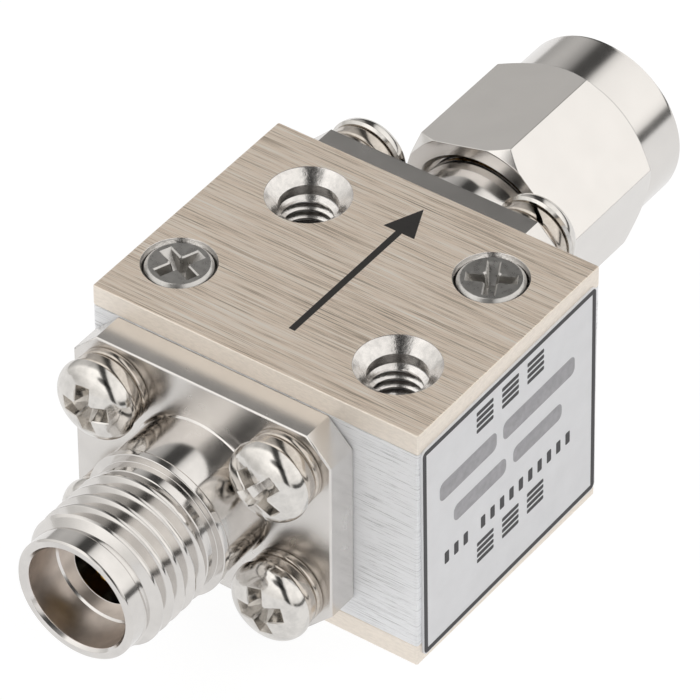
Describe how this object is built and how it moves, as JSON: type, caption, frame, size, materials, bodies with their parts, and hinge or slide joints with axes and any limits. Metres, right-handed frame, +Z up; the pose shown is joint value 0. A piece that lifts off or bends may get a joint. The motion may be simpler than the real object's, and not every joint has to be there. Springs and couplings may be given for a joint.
{
  "type": "coaxial isolator",
  "caption": "In-line microwave isolator: a square metal block with a threaded coaxial jack on one end and a plug with a free-turning hex coupling nut on the other.",
  "frame": {"origin": "underside of the bottom plate, straight below the connector axis and half way along the block", "axes": "+Z up through the cover plates, +Y from the jack to the plug along the connector axis, +X to the labelled side"},
  "size_m": [0.0158, 0.0365, 0.0121],
  "materials": {
    "housing": "fine milled",
    "plate": "warm nickel, long brushed grain",
    "magnet": "nickel plated",
    "pole": "turned",
    "ferrite": "ground",
    "strip": "etched",
    "load": "satin",
    "label": "satin film",
    "shell": "turned and passivated",
    "bead": "satin",
    "gold": "gold plated",
    "pan_screw": "bright nickel",
    "washer": "bright nickel",
    "ring": "bright spring alloy",
    "nut": "turned and passivated",
    "cover_screw": "bright nickel"
  },
  "bodies": {
    "block": {"housing": "housing", "top_plate": "plate", "bottom_plate": "plate", "top_magnet": "magnet", "bottom_magnet": "magnet", "top_pole_piece": "pole", "bottom_pole_piece": "pole", "top_ferrite": "ferrite", "bottom_ferrite": "ferrite", "centre_conductor": "strip", "load": "load", "label": "label", "jack_shell": "shell", "jack_bead": "bead", "jack_contact": "gold", "jack_screws": "pan_screw", "jack_spring_washers": "washer", "jack_flat_washers": "washer", "plug_shell": "shell", "plug_bead": "bead", "plug_pin": "gold", "plug_screws": "pan_screw", "plug_spring_washers": "washer", "plug_flat_washers": "washer", "top_cover_screws": "cover_screw", "bottom_cover_screws": "cover_screw"},
    "ring": {"retaining_ring": "ring"},
    "nut": {"coupling_nut": "nut"}
  },
  "joints": [
    {"name": "nut_play", "type": "slide", "parent": "block", "child": "ring", "axis": [0, 1, 0], "range_m": [0, 0.0003]},
    {"name": "nut_spin", "type": "hinge", "parent": "ring", "child": "nut", "pos_m": [0, 0.0155, 0.00605], "axis": [0, 1, 0], "continuous": true}
  ]
}
